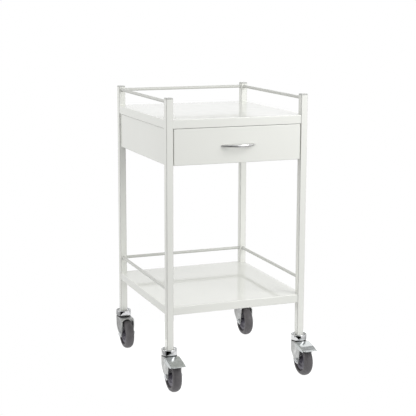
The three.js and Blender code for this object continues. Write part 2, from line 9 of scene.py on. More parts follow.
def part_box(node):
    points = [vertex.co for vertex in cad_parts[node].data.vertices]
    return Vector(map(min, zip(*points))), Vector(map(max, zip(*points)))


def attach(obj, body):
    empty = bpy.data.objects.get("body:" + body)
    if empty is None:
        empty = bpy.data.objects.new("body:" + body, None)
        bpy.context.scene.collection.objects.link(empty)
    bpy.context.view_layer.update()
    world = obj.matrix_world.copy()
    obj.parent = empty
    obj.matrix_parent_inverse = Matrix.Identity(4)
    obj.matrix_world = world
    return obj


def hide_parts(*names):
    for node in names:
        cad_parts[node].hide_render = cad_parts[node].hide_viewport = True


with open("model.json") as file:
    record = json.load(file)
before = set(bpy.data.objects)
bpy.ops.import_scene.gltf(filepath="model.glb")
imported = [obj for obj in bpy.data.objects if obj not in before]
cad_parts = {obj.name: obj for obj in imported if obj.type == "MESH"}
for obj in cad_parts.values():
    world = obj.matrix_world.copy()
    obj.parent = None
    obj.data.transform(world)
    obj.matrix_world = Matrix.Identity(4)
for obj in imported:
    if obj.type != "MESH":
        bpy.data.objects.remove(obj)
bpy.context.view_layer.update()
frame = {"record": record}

# The rolling salon trolley's visible surfaces. Meshes are drawn in millimetres, in the CAD's frame,
# and scaled to metres when they become pieces.
MM = 0.001
RECORD = frame["record"]
BODY_OF = {node: body for body, nodes in RECORD["behaviour"]["bodies"].items() for node in nodes}
SLOT_OF = {part["node"]: part["material_slot"] for part in RECORD["subparts"]}


def limits(node):
    """A CAD node's lowest and highest corners, in millimetres."""
    low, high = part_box(node)
    return low / MM, high / MM


# ------------------------------------------------------------------ the four posts

post_low, post_high = limits("front_right_post")
POST_HALF = (post_high.x - post_low.x) / 2
POST_X = (post_high.x + post_low.x) / 2
FRONT_POST_Y = (post_high.y + post_low.y) / 2
BACK_POST_Y = sum(corner.y for corner in limits("back_right_post")) / 2
MIDDLE_Y = (FRONT_POST_Y + BACK_POST_Y) / 2
BETWEEN_X = POST_X - POST_HALF
BETWEEN_Y = (BACK_POST_Y - FRONT_POST_Y) / 2 - POST_HALF


# ------------------------------------------------------------------ camera

# Place in metres, turns in degrees, lens and sensor in millimetres.
CAMERA_AT = (-1.3519, -3.3897, 1.2098)
CAMERA_YAW = 21.525
CAMERA_PITCH = 10.745
CAMERA_ROLL = 0.2
CAMERA_LENS = 98.8
CAMERA_SENSOR = 36


def add_camera():
    data = bpy.data.cameras.new("camera")
    data.lens = CAMERA_LENS
    data.sensor_width = CAMERA_SENSOR
    camera = bpy.data.objects.new("camera", data)
    turn = Matrix.Rotation(math.radians(-CAMERA_YAW), 4, "Z")
    tilt = Matrix.Rotation(math.radians(90 - CAMERA_PITCH), 4, "X")
    roll = Matrix.Rotation(math.radians(CAMERA_ROLL), 4, "Z")
    camera.matrix_world = Matrix.Translation(CAMERA_AT) @ turn @ tilt @ roll
    bpy.context.scene.collection.objects.link(camera)
    bpy.context.scene.camera = camera


# ------------------------------------------------------------------ materials

OFF_WHITE_LOW = (0.745, 0.752, 0.712)
OFF_WHITE_HIGH = (0.757, 0.764, 0.724)


def feed(tree, socket, value):
    """Gives a socket a constant, or links another node's output to it."""
    if isinstance(value, bpy.types.NodeSocket):
        tree.links.new(value, socket)
    else:
        socket.default_value = value


def add(tree, kind, settings=None, **inputs):
    """A shader node. An input is a value or another node's output socket."""
    node = tree.nodes.new("ShaderNode" + kind)
    for name, value in (settings or {}).items():
        setattr(node, name, value)
    for name, value in inputs.items():
        feed(tree, node.inputs[name.replace("_", " ")], value)
    return node


def place_of(tree, stretch=(1, 1, 1)):
    """Coordinates in metres on the resting object, stretched along its axes."""
    coordinates = add(tree, "TexCoord").outputs["Object"]
    return add(tree, "Mapping", Vector=coordinates, Scale=stretch).outputs["Vector"]


def noise(tree, place, scale, detail=2.0, roughness=0.5):
    node = add(tree, "TexNoise", Vector=place, Scale=scale, Detail=detail, Roughness=roughness)
    return node.outputs["Fac"]


def between(tree, value, low, high, start=0.3, end=0.7):
    """Runs from low to high while the value runs from start to end, and stays there beyond them."""
    reach = {"From_Min": start, "From_Max": end, "To_Min": low, "To_Max": high}
    return add(tree, "MapRange", {"clamp": True}, Value=value, **reach).outputs["Result"]


def blend_colours(tree, share, first, second):
    node = add(tree, "Mix", {"data_type": "RGBA"})
    tree.links.new(share, node.inputs["Factor"])
    for socket, colour in ((node.inputs[6], first), (node.inputs[7], second)):
        feed(tree, socket, (*colour, 1) if isinstance(colour, tuple) else colour)
    return node.outputs[2]


def bumped(tree, height, strength, distance, under=None):
    inputs = {"Height": height, "Strength": strength, "Distance": distance}
    if under is not None:
        inputs["Normal"] = under
    return add(tree, "Bump", **inputs).outputs["Normal"]


def new_material(name, **sockets):
    """A material whose shader has these constant sockets, with its node tree and shader."""
    material = bpy.data.materials.new(name)
    material.use_nodes = True
    tree = material.node_tree
    shader = tree.nodes["Principled BSDF"]
    for socket, value in sockets.items():
        shader.inputs[socket.replace("_", " ")].default_value = value
    return material, tree, shader


def set_shader(tree, shader, colour=None, roughness=None, normal=None):
    for name, socket in (("Base Color", colour), ("Roughness", roughness), ("Normal", normal)):
        if socket is not None:
            tree.links.new(socket, shader.inputs[name])


def calculate(tree, operation, first, second=0.0):
    node = add(tree, "Math", {"operation": operation})
    feed(tree, node.inputs[0], first)
    feed(tree, node.inputs[1], second)
    return node.outputs["Value"]


def agreement(tree, first, second):
    """How nearly two directions agree: 1 when they are the same, -1 when they are opposite."""
    node = add(tree, "VectorMath", {"operation": "DOT_PRODUCT"})
    feed(tree, node.inputs[0], first)
    feed(tree, node.inputs[1], second)
    return node.outputs["Value"]


def rubbed_edges_and_sheen(tree, low=0.53, high=0.6):
    """From 0 to 1: how much a convex edge is rubbed, broken up by noise. On the tyre its lighter colour
    is also a painted sheen along the shoulders.
    """
    sharp = add(tree, "NewGeometry").outputs["Pointiness"]
    edge = between(tree, sharp, 0.0, 1.0, low, high)
    patches = between(tree, noise(tree, place_of(tree), 90, 3), 0.2, 1.0, 0.4, 0.6)
    return calculate(tree, "MULTIPLY", edge, patches)


def thin_edges(tree):
    """From 0 to 1: how close a point lies to a sharp edge, within half a millimetre or so."""
    soft = add(tree, "Bevel", {"samples": 4}, Radius=0.6 * MM).outputs["Normal"]
    true = add(tree, "NewGeometry").outputs["Normal"]
    return between(tree, agreement(tree, soft, true), 1.0, 0.0, 0.75, 0.97)


def shaded(colour, shade):
    return tuple(shade * part for part in colour)


def painted_post_corner_shade(tree):
    """From 0 to 1: how far a point lies round the rounded corners of the four posts, where painted
    shade darkens the post coat.
    """
    x, y, _ = add(tree, "SeparateXYZ", Vector=place_of(tree)).outputs
    y = calculate(tree, "SUBTRACT", y, MIDDLE_Y * MM)
    nearest = []
    for value, centre in ((x, POST_X), (y, (BACK_POST_Y - FRONT_POST_Y) / 2)):
        from_centre = calculate(tree, "SUBTRACT", calculate(tree, "ABSOLUTE", value), centre * MM)
        nearest.append(calculate(tree, "ABSOLUTE", from_centre))
    least = calculate(tree, "MINIMUM", *nearest)
    return between(tree, least, 0.0, 1.0, (POST_HALF - 2.0) * MM, (POST_HALF - 0.9) * MM)


def powder_coat(name, shade=1.0, edges=None, edge_shade=1.0, matt=0.0):
    """Powder coat: a faint orange peel, uneven gloss and a thinner, darker coat on its edges; where the
    edges are the posts' corners, that darkening is painted shade. A shade below 1 darkens the whole
    coat as painted shade.
    """
    material, tree, shader = new_material(name, IOR=1.5, Coat_Weight=0.35 - matt, Coat_Roughness=0.06)
    place = place_of(tree)
    tone = between(tree, noise(tree, place, 6), 0.0, 1.0)
    colour = blend_colours(tree, tone, shaded(OFF_WHITE_LOW, shade), shaded(OFF_WHITE_HIGH, shade))
    if edges:
        colour = blend_colours(tree, edges(tree), colour, shaded(OFF_WHITE_LOW, edge_shade))
    gloss = between(tree, noise(tree, place, 30, 3), 0.08 + matt, 0.13 + matt)
    peel = bumped(tree, noise(tree, place, 600, 1), 0.035, 0.0002)
    grain = bumped(tree, noise(tree, place, 2400, 2), 0.03, 0.00005, peel)
    set_shader(tree, shader, colour, gloss, grain)
    return material


def cap_plastic():
    """Off-white moulded plastic, a little greyer and duller than the posts."""
    material, tree, shader = new_material("cap_plastic", IOR=1.46)
    place = place_of(tree)
    tone = between(tree, noise(tree, place, 60), 0.0, 1.0)
    colour = blend_colours(tree, tone, (0.46, 0.465, 0.445), (0.50, 0.505, 0.485))
    rough = between(tree, noise(tree, place, 300, 3), 0.38, 0.5)
    set_shader(tree, shader, colour, rough, bumped(tree, noise(tree, place, 2200, 2), 0.12, 0.0001))
    return material


def chrome():
    """Polished chrome plate with faint smears and polishing lines."""
    material, tree, shader = new_material("chrome", Metallic=1.0)
    place = place_of(tree)
    smear = noise(tree, place, 55, 3)
    colour = blend_colours(tree, smear, (0.58, 0.585, 0.59), (0.68, 0.685, 0.69))
    rough = between(tree, noise(tree, place, 120, 3), 0.05, 0.13)
    lines = noise(tree, place_of(tree, (60, 60, 2600)), 1, 2)
    set_shader(tree, shader, colour, rough, bumped(tree, lines, 0.03, 0.00005))
    return material


def satin_chrome():
    """Brushed chrome plate: softer reflections, with the brushing running along the bar."""
    material, tree, shader = new_material("satin_chrome", Metallic=1.0)
    place = place_of(tree)
    patches = between(tree, noise(tree, place, 40, 3), 0.0, 1.0)
    colour = blend_colours(tree, patches, (0.52, 0.52, 0.515), (0.60, 0.60, 0.595))
    rough = between(tree, noise(tree, place, 150, 3), 0.24, 0.33)
    lines = noise(tree, place_of(tree, (40, 900, 900)), 1, 3)
    set_shader(tree, shader, colour, rough, bumped(tree, lines, 0.08, 0.00006))
    return material


def pedal_plate():
    """Bright plate on the pedals, dulled unevenly by shoes."""
    material, tree, shader = new_material("pedal_plate", Metallic=1.0)
    place = place_of(tree)
    scuffs = between(tree, noise(tree, place, 90, 4, 0.6), 0.0, 1.0)
    colour = blend_colours(tree, scuffs, (0.42, 0.44, 0.44), (0.56, 0.58, 0.58))
    rough = between(tree, noise(tree, place, 180, 4), 0.12, 0.24)
    lines = noise(tree, place_of(tree, (700, 60, 60)), 1, 3)
    set_shader(tree, shader, colour, rough, bumped(tree, lines, 0.06, 0.00006))
    return material


def bright_steel():
    """Pressed steel with bright zinc plate: drawing lines from the press and duller patches."""
    material, tree, shader = new_material("bright_steel", Metallic=1.0)
    place = place_of(tree)
    patches = between(tree, noise(tree, place, 70, 4, 0.6), 0.0, 1.0)
    colour = blend_colours(tree, patches, (0.36, 0.365, 0.36), (0.43, 0.435, 0.43))
    colour = blend_colours(tree, rubbed_edges_and_sheen(tree), colour, (0.62, 0.625, 0.62))
    rough = between(tree, noise(tree, place, 160, 3), 0.28, 0.42)
    lines = noise(tree, place_of(tree, (900, 900, 70)), 1, 3)
    set_shader(tree, shader, colour, rough, bumped(tree, lines, 0.10, 0.00008))
    return material


def zinc_plate():
    """Clear zinc plate: a fine crystal spangle and rubbed edges."""
    material, tree, shader = new_material("zinc_plate", Metallic=1.0)
    place = place_of(tree)
    crystals = add(tree, "TexVoronoi", Vector=place, Scale=420.0).outputs["Color"]
    spangle = add(tree, "SeparateColor", Color=crystals).outputs[0]
    colour = blend_colours(tree, spangle, (0.50, 0.515, 0.53), (0.60, 0.615, 0.63))
    colour = blend_colours(tree, rubbed_edges_and_sheen(tree), colour, (0.72, 0.73, 0.74))
    rough = between(tree, noise(tree, place, 200, 3), 0.26, 0.42)
    lines = noise(tree, place_of(tree, (600, 20, 600)), 1, 2)
    set_shader(tree, shader, colour, rough, bumped(tree, lines, 0.08, 0.00008))
    return material


def tyre_rubber():
    """Dark grey rubber: a fine moulded grain, dust, and rubbed edges whose lighter colour is also a
    painted sheen along the shoulders.
    """
    material, tree, shader = new_material("tyre_rubber", IOR=1.45)
    place = place_of(tree)
    dust = between(tree, noise(tree, place, 45, 5, 0.65), 0.0, 1.0, 0.35, 0.75)
    colour = blend_colours(tree, dust, (0.062, 0.058, 0.062), (0.098, 0.092, 0.096))
    # Lighter on the convex edges: partly wear, partly a painted sheen on the tyre's shoulders.
    colour = blend_colours(tree, rubbed_edges_and_sheen(tree, 0.52, 0.58), colour, (0.12, 0.115, 0.117))
    rough = between(tree, noise(tree, place, 150, 3), 0.42, 0.6)
    grain = bumped(tree, noise(tree, place, 2600, 3), 0.25, 0.0001)
    set_shader(tree, shader, colour, rough, grain)
    return material


def core_plastic():
    """Grey polypropylene with moulding swirls and a fine matt grain."""
    material, tree, shader = new_material("core_plastic", IOR=1.49)
    place = place_of(tree)
    swirl = between(tree, noise(tree, place, 70, 3, 0.6), 0.0, 1.0)
    colour = blend_colours(tree, swirl, (0.082, 0.076, 0.096), (0.108, 0.101, 0.125))
    rough = between(tree, noise(tree, place, 240, 2), 0.36, 0.5)
    set_shader(tree, shader, colour, rough, bumped(tree, noise(tree, place, 3000, 2), 0.15, 0.0001))
    return material


def black_plastic():
    """Black moulded plastic with a dusty, uneven sheen."""
    material, tree, shader = new_material("black_plastic", IOR=1.46)
    place = place_of(tree)
    dust = between(tree, noise(tree, place, 130, 4), 0.0, 1.0)
    colour = blend_colours(tree, dust, (0.008, 0.008, 0.009), (0.025, 0.025, 0.026))
    rough = between(tree, noise(tree, place, 300, 3), 0.4, 0.6)
    set_shader(tree, shader, colour, rough, bumped(tree, noise(tree, place, 2500, 2), 0.15, 0.0001))
    return material


MATERIALS = {
    "powder_coat": powder_coat("powder_coat", edges=thin_edges, edge_shade=0.88),
    # Round the posts' corners the coat is darkened to 0.64 of its colour: painted shade.
    "post_coat": powder_coat("post_coat", edges=painted_post_corner_shade, edge_shade=0.64),
    # The rails' coat is the same powder coat darkened to 0.75: painted shade; it is also less glossy.
    "bar_coat_painted_shade": powder_coat("bar_coat_painted_shade", shade=0.75, matt=0.3),
    "cap_plastic": cap_plastic(),
    "chrome": chrome(),
    "satin_chrome": satin_chrome(),
    "pedal_plate": pedal_plate(),
    "bright_steel": bright_steel(),
    "zinc_plate": zinc_plate(),
    "tyre_rubber": tyre_rubber(),
    "core_plastic": core_plastic(),
    "black_plastic": black_plastic(),
}


# ------------------------------------------------------------------ outlines

def soften(points, radius, steps=4, closed=True):
    """Rounds an outline's corners. A point's own third number, if any, is its radius."""
    rounded = []
    last = len(points) - 1
    for i, point in enumerate(points):
        here = Vector(point[:2])
        own = point[2] if len(point) > 2 else radius
        if own <= 0 or (not closed and i in (0, last)):
            rounded.append(tuple(here))
            continue
        back = Vector(points[i - 1][:2]) - here
        ahead = Vector(points[(i + 1) % len(points)][:2]) - here
        angle = back.angle(ahead)
        if angle > math.radians(176):
            rounded.append(tuple(here))
            continue
        reach = min(own / math.tan(angle / 2), 0.49 * back.length, 0.49 * ahead.length)
        size = reach * math.tan(angle / 2)
        middle = (back.normalized() + ahead.normalized()).normalized()
        centre = here + middle * (size / math.sin(angle / 2))
        first = here + back.normalized() * reach - centre
        final = here + ahead.normalized() * reach - centre
        sweep = math.atan2(first.x * final.y - first.y * final.x, first.dot(final))
        for k in range(steps + 1):
            spoke = first.copy()
            spoke.rotate(Matrix.Rotation(sweep * k / steps, 2))
            rounded.append(tuple(centre + spoke))
    return rounded


def thicken(points, thickness):
    """The closed section of a sheet whose one face is this open line; the rest lies on its left."""
    far = []
    for i, point in enumerate(points):
        before = Vector(points[max(i - 1, 0)])
        after = Vector(points[min(i + 1, len(points) - 1)])
        along = (after - before).normalized()
        far.append((point[0] - along.y * thickness, point[1] + along.x * thickness))
    return list(points) + far[::-1]


def folded(corners, fold, thickness, steps=4):
    """A folded sheet's section: its one face goes through these corners."""
    return thicken(soften(corners, fold, steps, closed=False), thickness)


def rounded_box(half_x, half_y, radius, steps=6):
    """A rounded rectangle about the origin, counter-clockwise."""
    radius = max(radius, 0.05)
    points = []
    for corner in range(4):
        sign_x = 1 if corner in (0, 3) else -1
        sign_y = 1 if corner < 2 else -1
        for k in range(steps + 1):
            angle = math.pi / 2 * (corner + k / steps)
            x = sign_x * (half_x - radius) + radius * math.cos(angle)
            y = sign_y * (half_y - radius) + radius * math.sin(angle)
            points.append((x, y))
    return points


def square(half, radius, steps=6):
    return rounded_box(half, half, radius, steps)


def circle(radius, count, phase=0.0):
    angles = [2 * math.pi * k / count + phase for k in range(count)]
    return [(radius * math.cos(a), radius * math.sin(a)) for a in angles]


def moved(outline, by):
    return [(a + by[0], b + by[1]) for a, b in outline]


def arc(centre, radius, start, end, steps):
    """Points on an arc, in degrees."""
    angles = [math.radians(start + (end - start) * k / steps) for k in range(steps + 1)]
    return [(centre[0] + radius * math.cos(a), centre[1] + radius * math.sin(a)) for a in angles]


def curve(start, pull, end, steps):
    """Points on a quadratic curve, without its first."""
    points = []
    for k in range(1, steps + 1):
        t = k / steps
        points.append(tuple(
            (1 - t) ** 2 * a + 2 * t * (1 - t) * b + t * t * c for a, b, c in zip(start, pull, end)))
    return points


# ------------------------------------------------------------------ meshes

PLANES = {
    "x": lambda a, b, along: (along, a, b),
    "y": lambda a, b, along: (a, along, b),
    "z": lambda a, b, along: (a, b, along),
}


def loft(bm, rings, closed=False):
    """Skins rings of equal count; an open loft gets its ends capped."""
    rows = [[bm.verts.new(point) for point in ring] for ring in rings]
    pairs = list(zip(rows, rows[1:]))
    if closed:
        pairs.append((rows[-1], rows[0]))
    for near, far in pairs:
        for i in range(len(near)):
            j = (i + 1) % len(near)
            bm.faces.new((near[i], near[j], far[j], far[i]))
    if not closed:
        bm.faces.new(rows[0][::-1])
        bm.faces.new(rows[-1])


def prism(bm, outline, axis, start, end):
    """An outline run along an axis. It is drawn in the other two axes, in their order."""
    put = PLANES[axis]
    loft(bm, [[put(a, b, along) for a, b in outline] for along in (start, end)])


def stack(bm, layers, axis="z", centre=(0, 0), closed=False):
    """A solid skinned over (outline, height) layers along an axis."""
    put = PLANES[axis]
    rings = [[put(a, b, height) for a, b in moved(outline, centre)] for outline, height in layers]
    loft(bm, rings, closed)


def spin(bm, profile, segments, axis="z", centre=(0, 0)):
    """A closed profile of (radius, height) points turned round an axis."""
    put = PLANES[axis]
    rings = []
    for k in range(segments):
        angle = 2 * math.pi * k / segments
        cos, sin = math.cos(angle), math.sin(angle)
        rings.append([put(centre[0] + r * cos, centre[1] + r * sin, h) for r, h in profile])
    loft(bm, rings, closed=True)


def solid(maker, *inputs, **settings):
    """A new mesh with one of the solids above in it."""
    bm = bmesh.new()
    maker(bm, *inputs, **settings)
    return bm


def outside_up(bm):
    """Turns an open sheet's faces so that its highest one faces upwards."""
    bmesh.ops.recalc_face_normals(bm, faces=bm.faces)
    top = max(bm.faces, key=lambda face: face.calc_center_median().z)
    if top.normal.z < 0:
        bmesh.ops.reverse_faces(bm, faces=bm.faces)


def clean(bm):
    bmesh.ops.remove_doubles(bm, verts=bm.verts, dist=0.0005)
    bmesh.ops.dissolve_degenerate(bm, edges=bm.edges, dist=0.0005)
    bmesh.ops.recalc_face_normals(bm, faces=bm.faces)
    return bm


def work_object(bm):
    mesh = bpy.data.meshes.new("work")
    clean(bm).to_mesh(mesh)
    bm.free()
    thing = bpy.data.objects.new("work", mesh)
    bpy.context.scene.collection.objects.link(thing)
    return thing


def modified(bm, kind, tool=None, **settings):
    """The mesh after a modifier. A boolean's tool is another mesh, which is used up."""
    things = [work_object(bm)]
    modifier = things[0].modifiers.new(kind, kind)
    for name, value in settings.items():
        setattr(modifier, name, value)
    if tool is not None:
        things.append(work_object(tool))
        modifier.object = things[1]
        modifier.solver = "EXACT"
    shown = things[0].evaluated_get(bpy.context.evaluated_depsgraph_get())
    result = bmesh.new()
    result.from_mesh(shown.to_mesh())
    shown.to_mesh_clear()
    for thing in things:
        mesh = thing.data
        bpy.data.objects.remove(thing)
        bpy.data.meshes.remove(mesh)
    return result


def combined(bm, tool, operation):
    return modified(bm, "BOOLEAN", tool, operation=operation)


def bevelled(bm, width, segments=2, angle=40):
    return modified(bm, "BEVEL", width=width, segments=segments, limit_method="ANGLE",
                    angle_limit=math.radians(angle), harden_normals=False)


def mirrored(bm):
    """Turns a right-hand piece into its left-hand twin."""
    bmesh.ops.scale(bm, vec=(-1, 1, 1), verts=bm.verts)
    bmesh.ops.reverse_faces(bm, faces=bm.faces)
    return bm


def show(bm, name, nodes, shift=(0, 0, 0), slot=None, finish=None, weighted=True):
    """Makes the mesh a piece that stands for its CAD nodes and rides on their body."""
    nodes = [nodes] if isinstance(nodes, str) else nodes
    bmesh.ops.translate(bm, vec=shift, verts=bm.verts)
    mesh = bpy.data.meshes.new(name)
    clean(bm).to_mesh(mesh)
    bm.free()
    mesh.transform(Matrix.Scale(MM, 4))
    mesh.shade_smooth()
    mesh.set_sharp_from_angle(angle=math.radians(38))
    slot = slot or SLOT_OF[nodes[0]]
    mesh.materials.append(MATERIALS[finish or slot])
    piece = bpy.data.objects.new(name, mesh)
    bpy.context.scene.collection.objects.link(piece)
    if weighted:
        modifier = piece.modifiers.new("flat faces stay flat", "WEIGHTED_NORMAL")
        modifier.keep_sharp = True
        modifier.weight = 100
    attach(piece, BODY_OF[nodes[0]])
    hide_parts(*nodes)
    return piece


# ------------------------------------------------------------------ frame

SIDES = {"left": -1, "right": 1}
ENDS = {"front": -1, "back": 1}
CORNERS = [(f"{end}_{side}", SIDES[side], ENDS[end]) for end in ENDS for side in SIDES]
SHEET = 1.2
POST_WALL = 1.5
POST_CORNER = 2.2
SOCKET_BORE = 5.9
WELD = 1.9


def post_centre(name):
    low, high = limits(f"{name}_post")
    return ((low.x + high.x) / 2, (low.y + high.y) / 2)


def weld_bead(bm, start, end, radius=2.0):
    """A painted-over weld: a bead with shallow ripples, sunk into the corner it fills."""
    start, end = Vector(start), Vector(end)
    along = end - start
    pitch = 1.1
    count = max(4, round(along.length / pitch))
    side = along.orthogonal().normalized()
    other = along.normalized().cross(side)
    rings = []
    for k in range(count + 1):
        ripple = radius * (1 + 0.09 * math.sin(k * 2.1)) * (0.6 if k in (0, count) else 1)
        centre = start + along * (k / count)
        rings.append([centre + side * a + other * b for a, b in circle(ripple, 10)])
    loft(bm, rings)


def add_post(name):
    low, high = limits(f"{name}_post")
    bore = POST_HALF - POST_WALL
    edge = 0.35
    outer = square(POST_HALF, POST_CORNER)
    outer_end = square(POST_HALF - edge, POST_CORNER - edge)
    inner = square(bore, POST_CORNER - POST_WALL)
    layers = [(outer_end, low.z), (outer, low.z + edge), (outer, high.z - edge), (outer_end, high.z),
              (inner, high.z), (inner, low.z)]
    bm = solid(stack, layers, closed=True)
    show(bm, f"{name}_post_tube", f"{name}_post", (*post_centre(name), 0), finish="post_coat")


def add_cap(name):
    """A plug with a soft-edged head and a thin flat rim where it meets the tube."""
    low, high = limits(f"{name}_cap")
    foot = limits(f"{name}_post")[1].z + 0.2
    plug = 9
    soft = 1.5
    rim = 0.25
    crown = 0.25
    layers = [(square(plug - 0.8, 1), low.z), (square(plug, 1), low.z + 1.5), (square(plug, 1), foot),
              (square(POST_HALF - rim, 2), foot), (square(POST_HALF, 2.1), foot + rim)]
    for k in range(6):
        angle = math.pi / 2 * k / 5
        inset = soft * (1 - math.cos(angle))
        height = high.z - crown - soft * (1 - math.sin(angle))
        layers.append((square(POST_HALF - inset, 2.2 - inset * 0.6), height))
    layers += [(square(6, 1.5), high.z - 0.05), (square(2, 1), high.z)]
    show(solid(stack, layers), f"{name}_cap_moulding", f"{name}_cap", (*post_centre(name), 0))


def add_stem_socket(name):
    """The insert that grips the castor's stem: a square plug with grip ribs and a round bore."""
    low, high = limits(f"{name}_stem_socket")
    steps = 6
    bore = circle(SOCKET_BORE, 4 * (steps + 1), math.pi / 4 / steps)
    half = (high.x - low.x) / 2
    wall = square(half - 0.35, 1, steps)
    rib = square(half, 1, steps)
    layers = [(wall, low.z)]
    ribs = 5
    pitch = (high.z - low.z) / (ribs + 1)
    for k in range(ribs):
        height = low.z + pitch * (k + 0.7)
        layers += [(wall, height), (rib, height + 0.8), (rib, height + 1.6), (wall, height + 2.4)]
    layers += [(wall, high.z), (bore, high.z), (bore, low.z)]
    bm = solid(stack, layers, closed=True)
    show(bm, f"{name}_socket_insert", f"{name}_stem_socket", (*post_centre(name), 0))


def add_shelf(level, lip):
    """One folded sheet: a plate with four skirts, notched round the posts, welded from below."""
    low, high = limits(f"{level}_shelf")
    reach = ((high.x - low.x) / 2, (high.y - low.y) / 2)
    notch = (BETWEEN_X, BETWEEN_Y)
    top = high.z
    fold = 2.6
    lip_fold = 2.2 if lip else 0
    bm = bmesh.new()
    signs = ((1, 1), (-1, 1), (-1, -1), (1, -1))
    plate = [bm.verts.new((sx * notch[0], sy * notch[1], top)) for sx, sy in signs]
    bm.faces.new(plate)
    for side in range(4):
        across = side % 2
        edge = reach[across]
        corners = [(notch[across], top), (edge, top, fold), (edge, low.z, lip_fold)]
        if lip:
            corners.append((edge - lip, low.z))
        profile = soften(corners, 0, 6, closed=False)
        sign = 1 if side < 2 else -1
        pair = (plate[(3, 0, 1, 2)[side]], plate[(0, 1, 2, 3)[side]])
        for out, height in profile[1:]:
            row = []
            for vertex in pair:
                spot = [vertex.co.x, vertex.co.y, height]
                spot[across] = sign * out
                row.append(bm.verts.new(spot))
            bm.faces.new((pair[0], row[0], row[1], pair[1]))
            pair = tuple(row)
    outside_up(bm)
    bm = modified(bm, "SOLIDIFY", thickness=SHEET, offset=-1, use_even_offset=True, use_rim=True)
    inner = [value - SHEET for value in reach]
    for sx, sy in signs:
        for x, y in ((inner[0], notch[1]), (notch[0], inner[1])):
            weld_bead(bm, *[(sx * x, sy * y, z) for z in (low.z + 3, top - 4)], 1.6)
    show(bm, f"{level}_shelf_sheet", f"{level}_shelf", (0, MIDDLE_Y, 0))


def rail_profile(radius, half):
    """A round bar whose ends flare into smooth welds against the posts."""
    end = [(radius + WELD, half)]
    for k in range(1, 6):
        angle = math.pi / 2 * k / 5
        end.append((radius + WELD * (1 - math.sin(angle)), half - WELD * (1 - math.cos(angle))))
    far = [(r, -h) for r, h in end[::-1]]
    return [(0, half), *end, *far, (0, -half)]


def add_rails(level):
    low, high = limits(f"{level}_rail_back")
    radius = (high.z - low.z) / 2
    height = (high.z + low.z) / 2
    bm = solid(spin, rail_profile(radius, BETWEEN_X), 40, "x", (BACK_POST_Y, height))
    show(bm, f"{level}_back_rail_bar", f"{level}_rail_back", finish="bar_coat_painted_shade", weighted=False)
    for side, sign in SIDES.items():
        bm = solid(spin, rail_profile(radius, BETWEEN_Y), 40, "y", (sign * POST_X, height))
        rail = f"{level}_rail_{side}"
        show(bm, f"{level}_{side}_rail_bar", rail, (0, MIDDLE_Y, 0), finish="bar_coat_painted_shade", weighted=False)


PANEL = 1.0
PANEL_FLANGE = 12
SHADOW_GAP = 1.8  # left open under the top shelf's skirt, where the panel is set back
SETBACK = 2.4


def panel_section(face, low, high):
    """A panel's section: flanges at both ends, and a joggle that tucks its top behind the skirt."""
    step = limits("top_shelf")[0].z - SHADOW_GAP
    back = face - SETBACK
    corners = [(face - PANEL_FLANGE, low), (face, low), (face, step, 0.9), (back, step, 0.5),
               (back, high, 1.2), (face - PANEL_FLANGE, high)]
    return folded(corners, 1.8, PANEL)


def add_panels():
    for side, sign in SIDES.items():
        low, high = limits(f"side_panel_{side}")
        section = panel_section(max(abs(low.x), abs(high.x)), low.z, high.z)
        bm = solid(prism, section, "y", -BETWEEN_Y, BETWEEN_Y)
        if sign < 0:
            mirrored(bm)
        show(bm, f"{side}_side_panel_sheet", f"side_panel_{side}", (0, MIDDLE_Y, 0))
    low, high = limits("back_panel")
    section = panel_section(high.y, low.z, high.z)
    show(solid(prism, section, "x", -BETWEEN_X, BETWEEN_X), "back_panel_sheet", "back_panel")


# ------------------------------------------------------------------ drawer

HANDLE_SPAN = 98  # between the middles of its two ends
HANDLE_THIN = 2.75  # half its thickness in the middle
HANDLE_THICK = 6.4  # half its thickness at its ends
HANDLE_TAPER = 0.25  # the share of its height lost at its ends
HANDLE_SQUARENESS = 0.78  # 1 for a round section, towards 0 for a square one
SCREW_RADIUS = 1.9
SCREW_HOLE = 2.3


def screw_places():
    return [sum(corner.x for corner in limits(f"handle_screw_{side}")) / 2 for side in SIDES]


def with_screw_holes(bm, start, end):
    low, high = limits("drawer_handle")
    holes = bmesh.new()
    for x in screw_places():
        stack(holes, [(circle(SCREW_HOLE, 24), start), (circle(SCREW_HOLE, 24), end)], "y",
              (x, (low.z + high.z) / 2))
    return combined(bm, holes, "DIFFERENCE")


def rounded_face(layers, half_x, half_z, start, step, radius, steps=5):
    """Adds the layers of an edge rounded from a flat face at start into the sides."""
    for k in range(steps + 1):
        angle = math.pi / 2 * k / steps
        inset = radius * (1 - math.sin(angle))
        layers.append((rounded_box(half_x - inset, half_z - inset, max(radius - inset, 0.3)),
                       start + step * radius * (1 - math.cos(angle))))


def add_drawer_front():
    """A pan folded from sheet: soft outer edges, open towards the tray, with its rim turned in."""
    low, high = limits("drawer_front")
    half_x, half_z = (high.x - low.x) / 2, (high.z - low.z) / 2
    fold = 2.0
    rim = 5.5
    layers = []
    rounded_face(layers, half_x, half_z, low.y, 1, fold)
    edge = 0.8

    def ring(inset, radius, *places):
        layers.extend((rounded_box(half_x - inset, half_z - inset, radius), y) for y in places)

    ring(0, fold, high.y - edge)
    ring(edge, fold - edge, high.y)
    ring(rim, 1, high.y, high.y - SHEET)
    ring(SHEET, fold - SHEET, high.y - SHEET, low.y + SHEET)
    bm = solid(stack, layers, "y", (0, (low.z + high.z) / 2))
    bm = with_screw_holes(bm, low.y - 1, low.y + SHEET + 1)
    show(bm, "drawer_front_pan", "drawer_front")


